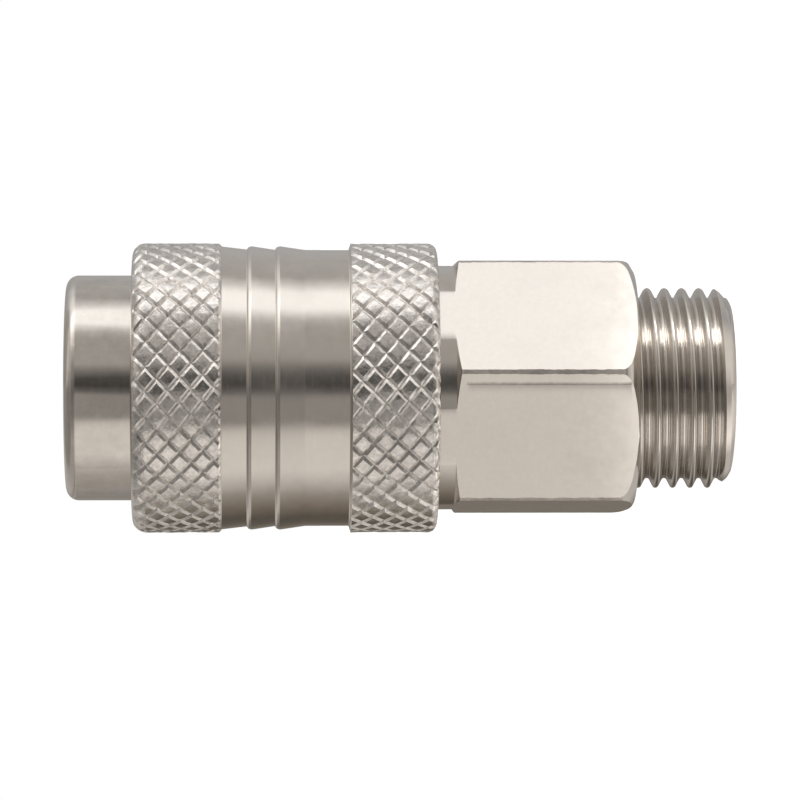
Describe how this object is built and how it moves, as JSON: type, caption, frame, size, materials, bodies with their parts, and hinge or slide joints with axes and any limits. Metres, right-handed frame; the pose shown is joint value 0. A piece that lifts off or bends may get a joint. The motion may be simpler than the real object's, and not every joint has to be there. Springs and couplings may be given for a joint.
{
  "type": "pneumatic quick coupling",
  "caption": "Quick coupling socket for compressed air: knurled release sleeve sliding on a ball-lock nose, with a sprung shut-off valve, a hexagon and a male pipe thread.",
  "frame": {"origin": "centre of the thread's end face, on which it stands", "axes": "+Z along the axis from the thread to the plug mouth; the hexagon's corners point to +Y and -Y"},
  "size_m": [0.0304, 0.0304, 0.0693],
  "materials": {
    "plated_brass": "nickel plated, semi-bright, with fine turning marks",
    "steel": "stainless, bright",
    "rubber": "moulded, satin black",
    "gasket": "plain off-white"
  },
  "bodies": {
    "coupling": {"hex_adapter": "plated_brass", "socket_body": "plated_brass", "plug_seal": "rubber", "body_gasket": "gasket", "sleeve_spring": "steel", "valve_spring": "steel"},
    "sleeve_carrier": {"thrust_washer": "steel"},
    "sleeve": {"sleeve": "plated_brass"},
    "valve": {"valve_poppet": "plated_brass", "valve_seal": "rubber"},
    "locking_ball_1": {"locking_ball_1": "steel"},
    "locking_ball_2": {"locking_ball_2": "steel"},
    "locking_ball_3": {"locking_ball_3": "steel"},
    "locking_ball_4": {"locking_ball_4": "steel"},
    "locking_ball_5": {"locking_ball_5": "steel"},
    "locking_ball_6": {"locking_ball_6": "steel"},
    "locking_ball_7": {"locking_ball_7": "steel"},
    "locking_ball_8": {"locking_ball_8": "steel"},
    "locking_ball_9": {"locking_ball_9": "steel"},
    "locking_ball_10": {"locking_ball_10": "steel"}
  },
  "joints": [
    {"name": "sleeve_slide", "type": "slide", "parent": "coupling", "child": "sleeve_carrier", "axis": [0, 0, -1], "range_m": [0, 0.0015], "stiffness_N_per_m": 460, "springref_m": -0.0114, "deforming": ["sleeve_spring"]},
    {"name": "sleeve_spin", "type": "hinge", "parent": "sleeve_carrier", "child": "sleeve", "pos_m": [0, 0, 0.04655], "axis": [0, 0, 1], "continuous": true},
    {"name": "valve_slide", "type": "slide", "parent": "coupling", "child": "valve", "axis": [0, 0, -1], "range_m": [0, 0.0045], "stiffness_N_per_m": 660, "springref_m": -0.005, "deforming": ["valve_spring"]},
    {"name": "locking_ball_1_slide", "type": "slide", "parent": "coupling", "child": "locking_ball_1", "axis": [1, 0, 0], "range_m": [0, 0.001]},
    {"name": "locking_ball_2_slide", "type": "slide", "parent": "coupling", "child": "locking_ball_2", "axis": [0.809, 0.5878, 0], "range_m": [0, 0.001]},
    {"name": "locking_ball_3_slide", "type": "slide", "parent": "coupling", "child": "locking_ball_3", "axis": [0.309, 0.9511, 0], "range_m": [0, 0.001]},
    {"name": "locking_ball_4_slide", "type": "slide", "parent": "coupling", "child": "locking_ball_4", "axis": [-0.309, 0.9511, 0], "range_m": [0, 0.001]},
    {"name": "locking_ball_5_slide", "type": "slide", "parent": "coupling", "child": "locking_ball_5", "axis": [-0.809, 0.5878, 0], "range_m": [0, 0.001]},
    {"name": "locking_ball_6_slide", "type": "slide", "parent": "coupling", "child": "locking_ball_6", "axis": [-1, 0, 0], "range_m": [0, 0.001]},
    {"name": "locking_ball_7_slide", "type": "slide", "parent": "coupling", "child": "locking_ball_7", "axis": [-0.809, -0.5878, 0], "range_m": [0, 0.001]},
    {"name": "locking_ball_8_slide", "type": "slide", "parent": "coupling", "child": "locking_ball_8", "axis": [-0.309, -0.9511, 0], "range_m": [0, 0.001]},
    {"name": "locking_ball_9_slide", "type": "slide", "parent": "coupling", "child": "locking_ball_9", "axis": [0.309, -0.9511, 0], "range_m": [0, 0.001]},
    {"name": "locking_ball_10_slide", "type": "slide", "parent": "coupling", "child": "locking_ball_10", "axis": [0.809, -0.5878, 0], "range_m": [0, 0.001]}
  ],
  "couplings": [
    {"joint": "locking_ball_1_slide", "follows": "sleeve_slide", "ratio": 0.6666},
    {"joint": "locking_ball_2_slide", "follows": "sleeve_slide", "ratio": 0.6666},
    {"joint": "locking_ball_3_slide", "follows": "sleeve_slide", "ratio": 0.6666},
    {"joint": "locking_ball_4_slide", "follows": "sleeve_slide", "ratio": 0.6666},
    {"joint": "locking_ball_5_slide", "follows": "sleeve_slide", "ratio": 0.6666},
    {"joint": "locking_ball_6_slide", "follows": "sleeve_slide", "ratio": 0.6666},
    {"joint": "locking_ball_7_slide", "follows": "sleeve_slide", "ratio": 0.6666},
    {"joint": "locking_ball_8_slide", "follows": "sleeve_slide", "ratio": 0.6666},
    {"joint": "locking_ball_9_slide", "follows": "sleeve_slide", "ratio": 0.6666},
    {"joint": "locking_ball_10_slide", "follows": "sleeve_slide", "ratio": 0.6666}
  ]
}
